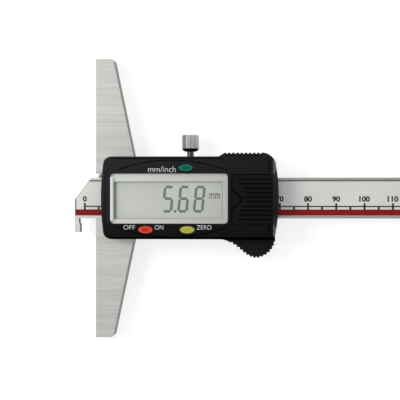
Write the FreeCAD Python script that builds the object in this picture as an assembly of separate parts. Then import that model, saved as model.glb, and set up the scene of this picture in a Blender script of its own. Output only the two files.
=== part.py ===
import FreeCAD, Part
import math
import os
from FreeCAD import Vector

# Digital hook depth gauge, 0 to 150 mm, lying on its back. Millimetres.
# X runs along the beam away from the measured surface, Y across it, Z towards the reader.
# X = 0 is the measuring face, Y = 0 the beam's centre line, Z = 0 the back it lies on.

# Beam and hook
beam_width = 14.5
beam_thickness = 3.3
reading = 5.68              # what the gauge reads as it lies: hook face to measuring face
hook_thickness = 2.0
hook_reach = 5.0            # below the beam's lower edge
hook_undercut = 0.4
hook_undercut_length = 1.7
tip_chamfer_x = 5.9
tip_chamfer_y = 7.7
measuring_range = 150.0
over_travel = 1.5
stop_gap = 0.3

# Scale in the beam's face
scale_recess = 0.6
strip_thickness = 0.4
label_thickness = 0.15
label_margin_top = 0.85
label_margin_bottom = 0.85
label_margin_end = 0.2
label_margin_slant = 0.25
strip_inset = 1.2
label_gap = 0.05

# End stop on the back of the beam
stop_length = 6.0
stop_width = 11.0
stop_thickness = 1.5
stop_screw_spread = 6.0
stop_screw_bite = 1.9

# Measuring base and slider, one piece of steel
base_length = 100.0
base_end_width = 6.2
base_flare = 0.21           # widening per millimetre towards the middle
base_corner = 1.0
base_thickness = 8.0
face_relief = 0.95
upper_wall = 4.45
lower_wall = 6.05
slide_gap = 0.05            # beam to each guide

# Gib strip, its screws and the lock screw
gib_thickness = 0.9
gib_backlash = 0.55
gib_end_gap = 0.9
gib_screw_radius = 1.0
gib_screw_left = 18.0
gib_screw_right = 14.0      # from the slider's end
gib_screw_sink = 0.3        # below the slider's side
gib_slot_depth = 0.6
lock_x = 33.95
lock_radius = 1.2
lock_tip_gap = 0.12
lock_head_radius = 3.0
lock_head_length = 4.85
lock_neck_length = 1.15
lock_neck_radius = 1.9
lock_head_stand_off = 1.95
lock_rim_chamfer = 0.4
lock_flutes = 26
flute_radius = 0.26
flute_stand_out = 0.08      # flute centres past the head's rim
press_gap = 0.02
thread_gap = 0.04

# Guide plates over the beam
plate_thickness = 1.0
plate_width = 4.3
plate_left = 6.3
plate_corner = 1.6
plate_margin = 0.65         # inside the slider's sides
plate_end_gap = 0.4         # right plate to the slider's end

# Cover
cover_left = 3.0
cover_overhang = 3.6        # past the slider's end
cover_wall = 1.3
roof_thickness = 1.5
skirt_wall = 1.0
upper_skirt_extra = 0.35    # the skirt is thicker beside the lock screw
skirt_gap = 0.1
skirt_bottom = 1.0
skirt_hole_gap = 0.35
base_gap = 0.35             # skirt to the measuring base
side_bulge = 0.9
end_bulge = 1.0
corner_radius = 3.0
edge_round = 1.1
end_slope_run = 2.0
end_slope_drop = 4.5
beam_passage_gap = 0.35
panel_line_width = 0.3
panel_line_depth = 0.25
panel_arc_rise = 3.7
panel_arc_offset = 1.0
panel_arc_inset = 1.8       # from the window's left edge

# Grips moulded on the cover
bump_length = 20.9          # back from the cover's right end
bump_rise = 1.3
bump_ramp = 2.0
bump_slope = 1.5
bump_end_inset = 4.4
bump_end_drop = 1.41        # from the bump's top to the middle of its rounded end
bump_end_bow = 1.5
rest_reach = 6.75           # thumb rest below the cover's lower side
rest_height = 3.5           # above the slider's front
rest_slope = 1.2
tooth_pitch = 1.47
tooth_radius = 0.42
smooth_start = 4            # tooth pitches left plain where the thumb rest begins

# Display
lens_left = 6.4
lens_width = 41.35
lens_height = 17.55
lens_centre_y = -0.18
lens_thickness = 0.9
lens_corner = 1.2
lens_set_back = 0.1
lens_gap = 0.1
mask_thickness = 0.15
window_left = 7.65
window_width = 38.32
window_height = 13.28
window_centre_y = -0.785
window_corner = 0.3
roof_window_margin = 0.5
glass_margin = 0.6          # display glass past the window, each side
glass_thickness = 1.8
glass_depth = 2.7           # below the cover's front
holder_wall = 1.15
holder_gap = 0.1
holder_lip = 0.5
zebra_width = 1.6
zebra_gap = 0.1             # inside the display glass's edge

# Circuit board and what is on it
board_thickness = 1.2
board_gap = 0.3
board_margin = 0.8          # inside the slider's sides
board_right_gap = 0.3       # board to the right guide plate
chip_size = 9.0
chip_height = 1.3
chip_corner = 0.8
crystal_inset = 4.0
capacitor_inset = 4.0
capacitor_count = 4
capacitor_pitch = 2.4
crystal_radius = 1.0
crystal_length = 6.0
capacitor_size = 1.6
dome_radius = 1.75
dome_height = 0.35

# Buttons
button_length = 5.7
button_width = 2.85
button_proud = 0.55
button_round = 0.38
button_travel = 0.35
button_gap = 0.12
flange_margin = 0.3
flange_thickness = 0.9
stem_radius = 0.9
tip_clearance = 0.05
unit_button_x = 33.1
on_off_button_x = 18.95
zero_button_x = 33.6
upper_button_inset = 4.05    # from the cover's upper side
lower_button_inset = 3.35   # from its lower side

# Battery and its door
cell_radius = 5.8
cell_height = 5.4
cell_rim = 0.3
cell_lift = 0.55            # above the board, on its spring contact
cell_inset = 7.25           # its centre from the door's left end
cell_head_room = 0.25       # under the door
door_web = 1.4              # between window and door
door_length = 16.45
door_half_width = 8.75
door_centre_y = -0.45
door_gap = 0.12
door_plate = 1.6
rail_width = 0.9
rail_height = 1.0
rail_gap = 0.1
rail_root = 1.2             # how far a rail reaches in under the door
rail_end_gap = 0.5
ledge_thickness = 1.0
ledge_reach = 0.4
door_lip_height = 1.6       # its lower edge above the slider's front
door_lip_thickness = 1.7
groove_count = 10
groove_pitch = 1.56
groove_width = 0.6
groove_depth = 0.35
groove_start = 2.95         # from the door's left end
short_groove_start = 5.35
short_grooves = range(2, 7)  # the middle ones, beside the arrow
groove_inset = 2.2          # from the door's outer end
arrow_half_height = 3.75
arrow_length = 3.95
arrow_depth = 0.4
contact_thickness = 0.3
contact_width = 4.0
contact_inset = 1.0
contact_leaf = 3.0
leaf_thickness = 0.2
post_reach = 4.3            # positive contact up the side of the cell

# Screws
cover_screw_radius = 0.95
cover_screw_head = 1.9
cover_screw_head_height = 1.3
cover_screw_sink = 0.5
cover_screw_bite = 4.5
cover_screw_left = 13.0
cover_screw_right = 8.6     # from the slider's end
cover_screw_inset = 2.0     # from the slider's sides
boss_radius = 1.9
boss_root = 0.2             # bosses and ledges run into the walls they grow from
plate_screw_radius = 0.8
plate_screw_head = 1.5
plate_screw_head_height = 0.8
plate_screw_depth = 2.6
land_screw_inset = 2.2      # from the slider's sides
board_screw_radius = 0.7
board_screw_head = 1.3
board_screw_head_height = 0.7
screw_gap = 0.08
cross_width = 0.35
cross_depth = 0.4
cross_reach = 0.6           # of the head's radius
tip_room = 0.3              # under a screw's tip

past = 1.0                  # how far a cut runs past the face it opens
tiny = 0.01

# Blank plate on the back
rear_label_length = 34.0
rear_label_width = 17.0
rear_label_thickness = 0.2
rear_label_sink = 0.08
rear_label_x = 18.0
rear_label_gap = 0.1

# Levels and edges that follow from the values above
beam_half = beam_width / 2
lens_right = lens_left + lens_width
door_left = lens_right + door_web
cover_right = door_left + door_length
slider_end = cover_right - cover_overhang
floor_z = base_thickness - beam_thickness - 2 * slide_gap
beam_back = floor_z + slide_gap
beam_front = beam_back + beam_thickness
channel_top = beam_half + slide_gap + gib_thickness + gib_backlash
channel_bottom = -beam_half - slide_gap
slider_top = channel_top + upper_wall
slider_bottom = channel_bottom - lower_wall
cover_top = slider_top + skirt_gap + skirt_wall + upper_skirt_extra
cover_bottom = slider_bottom - skirt_gap - skirt_wall
board_top = base_thickness + board_thickness
cell_bottom = board_top + cell_lift
door_under = cell_bottom + cell_height + cell_head_room
cover_front = door_under + door_plate
roof_under = cover_front - roof_thickness
cavity_top = cover_top - cover_wall
cavity_bottom = cover_bottom + cover_wall
beam_left = -reading - hook_thickness
travel_out = measuring_range - reading + over_travel
stop_left = slider_end + stop_gap + travel_out
beam_right = stop_left + stop_length
screw_axis_z = (floor_z + base_thickness) / 2
board_left = plate_left + plate_width + board_gap
plate_right = slider_end - plate_end_gap - plate_width
upper_screw_y = slider_top - land_screw_inset
lower_screw_y = slider_bottom + land_screw_inset
mask_bottom = cover_front - lens_set_back - lens_thickness - mask_thickness
glass_top = cover_front - glass_depth
glass_bottom = glass_top - glass_thickness
cell_x = door_left + cell_inset
door_lip_bottom = base_thickness + door_lip_height
door_top_y = door_centre_y + door_half_width
door_bottom_y = door_centre_y - door_half_width
rest_front = base_thickness + rest_height
unit_button = (unit_button_x, cover_top - upper_button_inset)
on_off_button = (on_off_button_x, cover_bottom + lower_button_inset)
zero_button = (zero_button_x, cover_bottom + lower_button_inset)


def box(x0, x1, y0, y1, z0, z1):
    return Part.makeBox(x1 - x0, y1 - y0, z1 - z0, Vector(x0, y0, z0))


def rod(radius, x, y, z0, z1):
    return Part.makeCylinder(radius, z1 - z0, Vector(x, y, z0))


def cross_rod(radius, x, z, y0, y1):
    return Part.makeCylinder(radius, y1 - y0, Vector(x, y0, z), Vector(0, 1, 0))


def prism(points, z0, z1):
    corners = [Vector(x, y, z0) for x, y in points + points[:1]]
    return Part.Face(Part.makePolygon(corners)).extrude(Vector(0, 0, z1 - z0))


def side_prism(points, y0, y1):
    corners = [Vector(x, y0, z) for x, z in points + points[:1]]
    return Part.Face(Part.makePolygon(corners)).extrude(Vector(0, y1 - y0, 0))


def rounded_box(x0, x1, y0, y1, z0, z1, radius):
    solid = box(x0, x1, y0, y1, z0, z1)
    upright = [edge for edge in solid.Edges if abs(edge.tangentAt(0).z) > 0.9]
    return solid.makeFillet(radius, upright)


def oval(centre, length, width, z0, z1):
    curve = Part.Ellipse(Vector(centre[0], centre[1], z0), length / 2, width / 2)
    return Part.Face(Part.Wire(curve.toShape())).extrude(Vector(0, 0, z1 - z0))


def arc(start, middle, end, z):
    points = [Vector(x, y, z) for x, y in (start, middle, end)]
    return Part.Arc(*points).toShape()


def line(start, end, z):
    return Part.makeLine(Vector(start[0], start[1], z), Vector(end[0], end[1], z))


def join(shapes):
    return shapes[0].multiFuse(shapes[1:]).removeSplitter()


def save(name, *shapes):
    solids = [solid for shape in shapes for solid in shape.Solids]
    shape = solids[0] if len(solids) == 1 else Part.makeCompound(solids)
    shape.exportStep("parts/" + name + ".step")
    print(name, len(solids), "solids", round(shape.Volume, 2), "mm3", shape.isValid())


def edge_width(y):
    """Width of the measuring base at a distance from the beam's centre line."""
    return base_end_width + (base_length / 2 - abs(y)) * base_flare


def crossed_head(radius, height, x, y, z, up):
    """A screw head with a cross recess; up is 1 for a head that faces +Z and -1 for -Z."""
    low, high = sorted((z, z + up * height))
    head = rod(radius, x, y, low, high)
    far = z + up * height
    near = far - up * cross_depth
    cut_low, cut_high = sorted((near, far + up * cross_depth))
    arm = radius * cross_reach
    half = cross_width / 2
    return head.cut([box(x - arm, x + arm, y - half, y + half, cut_low, cut_high),
                     box(x - half, x + half, y - arm, y + arm, cut_low, cut_high)])


def screw(x, y, seat_z, tip_z, radius, head_radius, head_height):
    """A screw whose head sits on seat_z and whose tip is at tip_z, below or above the seat."""
    up = 1 if tip_z < seat_z else -1
    low, high = sorted((seat_z, tip_z))
    shank = rod(radius, x, y, low, high)
    return join([shank, crossed_head(head_radius, head_height, x, y, seat_z, up)])


# Places of the screws

def cover_screw_places():
    return [(x, y) for x in (cover_screw_left, slider_end - cover_screw_right)
            for y in (slider_top - cover_screw_inset, slider_bottom + cover_screw_inset)]


def plate_screw_places():
    middle = plate_width / 2
    return [(x + middle, y) for x in (plate_left, plate_right)
            for y in (upper_screw_y, lower_screw_y)]


def board_screw_places():
    left = (cover_screw_left + lock_x) / 2
    right = (lock_x + slider_end - cover_screw_right) / 2
    between = (on_off_button[0] + zero_button[0]) / 2
    return [(left, upper_screw_y), (right, upper_screw_y), (between, lower_screw_y),
            (right, lower_screw_y)]


def gib_screw_places():
    return [gib_screw_left, slider_end - gib_screw_right]


# Beam and what it carries

def beam_outline():
    undercut_end = -beam_half - hook_undercut_length
    hook_end = -beam_half - hook_reach
    return [(beam_left, hook_end), (beam_left, beam_half - tip_chamfer_y),
            (beam_left + tip_chamfer_x, beam_half), (beam_right, beam_half),
            (beam_right, -beam_half), (-reading - hook_undercut, -beam_half),
            (-reading - hook_undercut, undercut_end), (-reading, undercut_end - hook_undercut),
            (-reading, hook_end)]


def label_outline(inset):
    slant = tip_chamfer_y / tip_chamfer_x
    left = beam_left + label_margin_end + inset
    top = beam_half - label_margin_top - inset
    bottom = -beam_half + label_margin_bottom + inset
    shift = (label_margin_slant + inset) * math.hypot(1, slant)
    corner_y = beam_half - tip_chamfer_y - shift + slant * (left - beam_left)
    corner_x = beam_left + (top - (beam_half - tip_chamfer_y) + shift) / slant
    right = beam_right - label_margin_end - inset
    return [(left, bottom), (left, corner_y), (corner_x, top), (right, top), (right, bottom)]


def stop_screw_places():
    middle = stop_left + stop_length / 2
    return [(middle, stop_screw_spread / 2), (middle, -stop_screw_spread / 2)]


def make_beam():
    beam = prism(beam_outline(), beam_back, beam_front)
    recess = prism(label_outline(-label_gap), beam_front - scale_recess, beam_front + past)
    hole_end = beam_back + stop_screw_bite + tip_room
    holes = [rod(plate_screw_radius + screw_gap, x, y, beam_back - past, hole_end)
             for x, y in stop_screw_places()]
    return beam.cut([recess] + holes)


def make_scale():
    floor = beam_front - scale_recess
    strip_top = floor + strip_thickness
    strip = prism(label_outline(strip_inset), floor, strip_top)
    label = prism(label_outline(0), strip_top, strip_top + label_thickness)
    rim = prism(label_outline(0), floor, strip_top).cut(prism(label_outline(strip_inset), floor, strip_top))
    return strip, join([label, rim])


def make_stop():
    half = stop_width / 2
    back = beam_back - stop_thickness
    plate = box(stop_left, beam_right, -half, half, back, beam_back)
    holes = []
    screws = []
    seat = back + plate_screw_head_height
    for x, y in stop_screw_places():
        holes.append(rod(plate_screw_radius + screw_gap, x, y, back - past, beam_back + past))
        holes.append(rod(plate_screw_head + screw_gap, x, y, back - past, seat))
        screws.append(screw(x, y, seat, beam_back + stop_screw_bite, plate_screw_radius, plate_screw_head,
                            plate_screw_head_height))
    return plate.cut(holes), screws


# Steel base and slider, with what is screwed to it

def base_outline():
    end = base_length / 2
    return [(0, -end), (base_end_width, -end), (edge_width(slider_bottom), slider_bottom),
            (slider_end, slider_bottom), (slider_end, slider_top),
            (edge_width(slider_top), slider_top), (base_end_width, end), (0, end)]


def make_base_slider():
    body = prism(base_outline(), 0, base_thickness)
    corners = [edge for edge in body.Edges
               if abs(edge.tangentAt(0).z) > 0.9 and abs(abs(edge.CenterOfMass.y) - base_length / 2) < tiny
               and edge.CenterOfMass.x > base_end_width / 2]
    body = body.makeFillet(base_corner, corners)
    above = base_thickness + past
    cuts = [box(-past, slider_end + past, channel_bottom, channel_top, floor_z, above),
            box(-past, face_relief, channel_bottom, channel_top, -past, above)]
    for x, y in cover_screw_places():
        cuts.append(rod(cover_screw_radius + screw_gap, x, y, -past, above))
        head_room = cover_screw_sink + cover_screw_head_height
        cuts.append(rod(cover_screw_head + screw_gap, x, y, -past, head_room))
    hole_end = base_thickness - plate_screw_depth - tip_room
    for x, y in plate_screw_places():
        cuts.append(rod(plate_screw_radius + screw_gap, x, y, hole_end, above))
    for x, y in board_screw_places():
        cuts.append(rod(board_screw_radius + screw_gap, x, y, hole_end, above))
    inside = channel_top - past
    outside = slider_top + past
    for x in gib_screw_places():
        cuts.append(cross_rod(gib_screw_radius + thread_gap, x, screw_axis_z, inside, outside))
    cuts.append(cross_rod(lock_radius + thread_gap, lock_x, screw_axis_z, inside, outside))
    half = rear_label_width / 2
    depth = rear_label_thickness + rear_label_sink
    cuts.append(box(rear_label_x, rear_label_x + rear_label_length, -half, half, -past, depth))
    return body.cut(cuts)


def make_gib():
    low = beam_half + slide_gap
    return box(face_relief, slider_end - gib_end_gap, low, low + gib_thickness,
               floor_z + slide_gap, base_thickness - slide_gap)


def make_gib_screws():
    screws = []
    tip = beam_half + slide_gap + gib_thickness
    for x in gib_screw_places():
        end = slider_top - gib_screw_sink
        body = cross_rod(gib_screw_radius, x, screw_axis_z, tip, end)
        slot = box(x - gib_screw_radius, x + gib_screw_radius, end - gib_slot_depth, slider_top,
                   screw_axis_z - cross_width / 2, screw_axis_z + cross_width / 2)
        screws.append(body.cut(slot))
    return screws


def make_guide_plates():
    plates = []
    for left in (plate_left, plate_right):
        plate = rounded_box(left, left + plate_width, slider_bottom + plate_margin,
                            slider_top - plate_margin, base_thickness, base_thickness + plate_thickness,
                            plate_corner)
        holes = [rod(plate_screw_radius + screw_gap, x, y, base_thickness - past,
                     base_thickness + plate_thickness + past) for x, y in plate_screw_places()]
        plates.append(plate.cut(holes))
    return plates


def make_plate_screws():
    seat = base_thickness + plate_thickness
    return [screw(x, y, seat, base_thickness - plate_screw_depth, plate_screw_radius, plate_screw_head,
                  plate_screw_head_height) for x, y in plate_screw_places()]


def make_rear_label():
    half = rear_label_width / 2 - rear_label_gap
    left = rear_label_x + rear_label_gap
    return box(left, left + rear_label_length - 2 * rear_label_gap, -half, half,
               rear_label_sink, rear_label_sink + rear_label_thickness)


# Lock screw

def make_lock_stud():
    tip = beam_half + slide_gap + gib_thickness + lock_tip_gap
    seat = cover_top + lock_head_stand_off
    return cross_rod(lock_radius, lock_x, screw_axis_z, tip, seat + lock_neck_length + lock_head_length / 2)


def make_lock_head():
    neck = cover_top + lock_head_stand_off
    start = neck + lock_neck_length
    end = start + lock_head_length
    axis = Vector(0, 1, 0)
    cone = Part.makeCone(lock_neck_radius, lock_head_radius, lock_neck_length,
                         Vector(lock_x, neck, screw_axis_z), axis)
    drum = Part.makeCylinder(lock_head_radius, lock_head_length, Vector(lock_x, start, screw_axis_z), axis)
    rims = [edge for edge in drum.Edges if len(edge.Vertexes) == 1 and edge.CenterOfMass.y > end - tiny]
    drum = drum.makeChamfer(lock_rim_chamfer, rims)
    flutes = []
    for count in range(lock_flutes):
        turn = 2 * math.pi * count / lock_flutes
        x = lock_x + (lock_head_radius + flute_stand_out) * math.cos(turn)
        z = screw_axis_z + (lock_head_radius + flute_stand_out) * math.sin(turn)
        flutes.append(cross_rod(flute_radius, x, z, start, end + past))
    bore = cross_rod(lock_radius + press_gap, lock_x, screw_axis_z, neck - past,
                     start + lock_head_length / 2 + press_gap)
    return join([cone, drum]).cut(flutes + [bore])


# Cover

def cover_outline(inset, z):
    """Face outline of the cover, drawn inset from its outer edge."""
    left = cover_left + inset
    right = cover_right - inset
    top = cover_top - inset
    bottom = cover_bottom + inset
    near = left + side_bulge
    far = right - end_bulge
    bend = max(corner_radius - inset, tiny)
    cut = bend * (1 - math.sqrt(0.5))
    edges = [line((near + bend, top), (far - bend, top), z),
             arc((far - bend, top), (far - cut, top - cut), (far, top - bend), z),
             arc((far, top - bend), (right, (top + bottom) / 2), (far, bottom + bend), z),
             arc((far, bottom + bend), (far - cut, bottom + cut), (far - bend, bottom), z),
             line((far - bend, bottom), (near + bend, bottom), z),
             arc((near + bend, bottom), (near + cut, bottom + cut), (near, bottom + bend), z),
             arc((near, bottom + bend), (left, (top + bottom) / 2), (near, top - bend), z),
             arc((near, top - bend), (near + cut, top - cut), (near + bend, top), z)]
    return Part.Face(Part.Wire(edges))


def end_profile():
    """Side view of the cover: flat front, a slope down to its right end."""
    far = cover_right + tiny
    return [(cover_left - past, -past), (cover_left - past, cover_front - edge_round - past),
            (cover_left + edge_round, cover_front), (cover_right - end_slope_run, cover_front),
            (far, cover_front - end_slope_drop), (far, -past)]


def front_profile():
    """End view of the cover, its two long front edges rounded."""
    shoulder = cover_front - edge_round
    cut = edge_round * (1 - math.sqrt(0.5))
    low = cover_bottom + edge_round
    high = cover_top - edge_round
    edges = [Part.makeLine(Vector(0, cover_bottom, shoulder), Vector(0, cover_bottom, 0)),
             Part.makeLine(Vector(0, cover_bottom, 0), Vector(0, cover_top, 0)),
             Part.makeLine(Vector(0, cover_top, 0), Vector(0, cover_top, shoulder)),
             Part.Arc(Vector(0, cover_top, shoulder), Vector(0, cover_top - cut, cover_front - cut),
                      Vector(0, high, cover_front)).toShape(),
             Part.makeLine(Vector(0, high, cover_front), Vector(0, low, cover_front)),
             Part.Arc(Vector(0, low, cover_front), Vector(0, cover_bottom + cut, cover_front - cut),
                      Vector(0, cover_bottom, shoulder)).toShape()]
    return Part.Face(Part.Wire(edges)).extrude(Vector(cover_right + past, 0, 0))


def slope_tooth(x, y, inward, slope, front):
    """A round groove up the slope along a grip's front edge, from its foot at x, y."""
    way = Vector(inward.x, inward.y, 1)
    way.normalize()
    foot = Vector(x, y, front - slope)
    reach = math.sqrt(2) * slope + 2 * tooth_radius
    return Part.makeCylinder(tooth_radius, reach, foot - way * tooth_radius, way)


def make_bump():
    top = cover_top + bump_rise
    inner = cavity_top
    far = cover_right - end_bulge
    bump_start = cover_right - bump_length
    edges = [line((bump_start, inner), (bump_start, cover_top), 0),
             line((bump_start, cover_top), (bump_start + bump_ramp, top), 0),
             line((bump_start + bump_ramp, top), (far - bump_end_inset, top), 0),
             arc((far - bump_end_inset, top), (far - bump_end_bow, top - bump_end_drop),
                 (far, cover_top - corner_radius), 0),
             line((far, cover_top - corner_radius), (far - cover_wall, cover_top - corner_radius), 0),
             line((far - cover_wall, cover_top - corner_radius), (bump_start, inner), 0)]
    bump = Part.Face(Part.Wire(edges)).extrude(Vector(0, 0, cover_front))
    corner = [Vector(0, top, cover_front - bump_slope), Vector(0, top + past, cover_front - bump_slope),
              Vector(0, top + past, cover_front + past), Vector(0, top - bump_slope, cover_front + past),
              Vector(0, top - bump_slope, cover_front), Vector(0, top, cover_front - bump_slope)]
    slope = Part.Face(Part.makePolygon(corner)).extrude(Vector(cover_right, 0, 0))
    bump = bump.common(side_prism(end_profile(), 0, top + past)).cut(slope)
    first = bump_start + bump_ramp + tooth_pitch / 2
    count = int((far - bump_end_inset - first) / tooth_pitch) + 1
    places = [first + number * tooth_pitch for number in range(count)]
    bump = bump.cut([rod(tooth_radius, x, top, -past, cover_front + past) for x in places])
    inward = Vector(0, -1, 0)
    return bump.cut([slope_tooth(x, top, inward, bump_slope, cover_front) for x in places])


def rest_points():
    """The thumb rest's outer edge, from the cover's lower side round to its right end."""
    low = cover_bottom
    right = cover_right - end_bulge
    deep = low - rest_reach
    return [Vector(right - 21.2, low, 0), Vector(right - 16.4, low - 1.2, 0),
            Vector(right - 13.1, low - 3.4, 0), Vector(right - 10.7, deep + 1.3, 0),
            Vector(right - 9.3, deep + 0.5, 0), Vector(right - 7.2, deep, 0),
            Vector(right - 4.5, deep + 0.6, 0), Vector(right - 1.7, deep + 2.9, 0),
            Vector(right - 0.3, low - 0.4, 0)]


def rest_curve(points):
    curve = Part.BSplineCurve()
    curve.interpolate(points)
    return curve


def rest_inward(curve, point):
    along = curve.tangent(curve.parameter(point))[0]
    return Vector(-along.y, along.x, 0)


def rest_wire(points, z):
    """The thumb rest's outline at a level, closed inside the cover."""
    curve = rest_curve([Vector(point.x, point.y, z) for point in points])
    start = curve.StartPoint
    end = curve.EndPoint
    inner = cover_bottom + cover_wall + rest_slope
    corners = [(end.x, end.y), (end.x, inner), (start.x, inner), (start.x, start.y)]
    sides = [line(near, far, z) for near, far in zip(corners, corners[1:])]
    return Part.Wire([curve.toShape()] + sides)


def make_thumb_rest():
    points = rest_points()
    curve = rest_curve(points)
    inset = [point + rest_inward(curve, point) * rest_slope for point in points]
    shoulder = rest_front - rest_slope
    side = Part.Face(rest_wire(points, 0)).extrude(Vector(0, 0, shoulder))
    slope = Part.makeLoft([rest_wire(points, shoulder), rest_wire(inset, rest_front)], True, True)
    feet = curve.discretize(Distance=tooth_pitch)[smooth_start:-1]
    rest = side.fuse(slope)
    rest = rest.cut([rod(tooth_radius, foot.x, foot.y, -past, rest_front + past) for foot in feet])
    return rest.cut([slope_tooth(foot.x, foot.y, rest_inward(curve, foot), rest_slope, rest_front)
                     for foot in feet])


def panel_line(side):
    """A shallow arched groove over or under the display."""
    left = lens_left + panel_arc_inset
    right = lens_right
    floor = cover_front - panel_line_depth
    start_y = lens_centre_y + side * (lens_height / 2 + panel_arc_offset)
    middle = (left + right) / 2
    half = side * panel_line_width / 2
    crown = start_y + side * panel_arc_rise
    outer = arc((left, start_y + half), (middle, crown + half), (right, start_y + half), floor)
    inner = arc((left, start_y - half), (middle, crown - half), (right, start_y - half), floor)
    ends = [line((x, start_y + half), (x, start_y - half), floor) for x in (left, right)]
    wire = Part.Wire(Part.__sortEdges__([outer, inner] + ends))
    return Part.Face(wire).extrude(Vector(0, 0, past))


def housing_block():
    block = cover_outline(0, 0).extrude(Vector(0, 0, cover_front))
    block = block.common(side_prism(end_profile(), cover_bottom - past, cover_top + past))
    return block.common(front_profile())


def door_space(gap):
    """The room the battery door fills, grown by a gap and open at its right end."""
    low = door_bottom_y - gap
    high = door_top_y + gap
    left = door_left - gap
    far = cover_right + past
    above = cover_front + past
    plate = box(left, far, low, high, door_under - gap, above)
    rail_low = door_under - rail_height - gap
    rail_top = door_under + gap
    rails = [box(left, far, low - rail_width, low + rail_root + gap, rail_low, rail_top),
             box(left, far, high - rail_root - gap, high + rail_width, rail_low, rail_top)]
    lip = box(cover_right - door_lip_thickness - gap, far, low, high, door_lip_bottom - gap, above)
    return [plate, lip] + rails


def button_places():
    return [unit_button, on_off_button, zero_button]


def cover_cuts():
    room_end = slider_end + skirt_gap
    below = -past
    beam_way_end = cover_left + cover_wall + side_bulge
    open_z = base_thickness + beam_passage_gap
    low = channel_bottom - beam_passage_gap
    high = channel_top + beam_passage_gap
    cavity = cover_outline(cover_wall, base_thickness).extrude(Vector(0, 0, roof_under - base_thickness))
    step = max(edge_width(slider_top), edge_width(slider_bottom)) + base_gap
    half = lens_height / 2
    window_half = window_height / 2 + roof_window_margin
    above = cover_front + past
    cuts = [cavity,
            box(below, step, cover_bottom - past, cover_top + past, below, base_thickness),
            box(below, room_end, slider_bottom - skirt_gap, slider_top + skirt_gap, below, base_thickness),
            box(below, cover_right + past, cover_bottom - rest_reach - past, cover_top + bump_rise + past,
                below, skirt_bottom),
            box(below, beam_way_end, low, high, below, open_z),
            box(room_end - corner_radius, cover_right + past, low, high, below, open_z),
            rounded_box(lens_left - lens_gap, lens_right + lens_gap, lens_centre_y - half - lens_gap,
                        lens_centre_y + half + lens_gap, mask_bottom, above, lens_corner + lens_gap),
            box(window_left - roof_window_margin, window_left + window_width + roof_window_margin,
                window_centre_y - window_half, window_centre_y + window_half, roof_under - past,
                cover_front)]
    for centre in button_places():
        cuts.append(oval(centre, button_length + 2 * button_gap, button_width + 2 * button_gap,
                         roof_under - past, above))
    for x in gib_screw_places():
        cuts.append(cross_rod(gib_screw_radius + skirt_hole_gap, x, screw_axis_z, slider_top,
                              cover_top + bump_rise + past))
    cuts.append(cross_rod(lock_radius + skirt_hole_gap, lock_x, screw_axis_z, slider_top, cover_top + past))
    cuts.extend([panel_line(1), panel_line(-1)])
    return cuts


def make_cover():
    shell = join([housing_block(), make_bump(), make_thumb_rest()]).cut(cover_cuts())
    boss_top = roof_under + boss_root
    bosses = [rod(boss_radius, x, y, base_thickness, boss_top) for x, y in cover_screw_places()]
    ledge_high = door_under - rail_height - rail_gap
    ledge_low = ledge_high - ledge_thickness
    ledges = [box(door_left, slider_end, door_top_y - ledge_reach, cavity_top + boss_root, ledge_low,
                  ledge_high),
              box(door_left, slider_end, cavity_bottom - boss_root, door_bottom_y + ledge_reach, ledge_low,
                  ledge_high)]
    shell = join([shell] + bosses + ledges)
    bores = [rod(cover_screw_radius + press_gap, x, y, base_thickness - past,
                 base_thickness + cover_screw_bite + tip_room) for x, y in cover_screw_places()]
    return shell.cut(door_space(door_gap) + bores)


def make_door():
    block = housing_block()
    low = door_bottom_y
    high = door_top_y
    far = cover_right + past
    above = cover_front + past
    plate = block.common(box(door_left, far, low, high, door_under, above))
    lip = block.common(box(cover_right - door_lip_thickness, far, low, high, door_lip_bottom, above))
    rail_top = door_under
    rail_low = door_under - rail_height
    rail_end = slider_end - rail_end_gap
    rails = [box(door_left, rail_end, low - rail_width + rail_gap, low + rail_root, rail_low, rail_top),
             box(door_left, rail_end, high - rail_root, high + rail_width - rail_gap, rail_low, rail_top)]
    door = join([plate, lip] + rails)
    groove_end = cover_right - groove_inset
    grooves = []
    for number in range(groove_count):
        y = door_centre_y + ((groove_count - 1) / 2 - number) * groove_pitch
        start = short_groove_start if number in short_grooves else groove_start
        grooves.append(box(door_left + start, groove_end, y - groove_width / 2, y + groove_width / 2,
                           cover_front - groove_depth, above))
    high = door_centre_y + arrow_half_height
    low = door_centre_y - arrow_half_height
    arrow = prism([(door_left - past, high), (door_left, high), (door_left + arrow_length, door_centre_y),
                   (door_left, low), (door_left - past, low)], cover_front - arrow_depth, above)
    return door.cut(grooves + [arrow])


def make_cover_screws():
    seat = cover_screw_sink + cover_screw_head_height
    return [screw(x, y, seat, base_thickness + cover_screw_bite, cover_screw_radius, cover_screw_head,
                  cover_screw_head_height) for x, y in cover_screw_places()]


# Display

def make_lens_and_mask():
    low = lens_centre_y - lens_height / 2
    high = lens_centre_y + lens_height / 2
    mask_top = mask_bottom + mask_thickness
    lens_top = mask_top + lens_thickness
    lens = rounded_box(lens_left, lens_right, low, high, mask_top, lens_top, lens_corner)
    mask = rounded_box(lens_left, lens_right, low, high, mask_bottom, mask_top, lens_corner)
    half = window_height / 2
    window = rounded_box(window_left, window_left + window_width, window_centre_y - half,
                         window_centre_y + half, mask_bottom - past, mask_top + past, window_corner)
    return lens, mask.cut(window)


def glass_box(grow, z0, z1):
    spread = glass_margin + grow
    return box(window_left - spread, window_left + window_width + spread,
               window_centre_y - window_height / 2 - spread, window_centre_y + window_height / 2 + spread,
               z0, z1)


def make_holder():
    top = roof_under - holder_gap
    body = glass_box(holder_wall, board_top, top)
    pocket = glass_box(holder_gap, board_top - past, glass_top + holder_gap)
    opening = glass_box(-holder_lip, board_top - past, top + past)
    return body.cut([pocket, opening])


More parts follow.
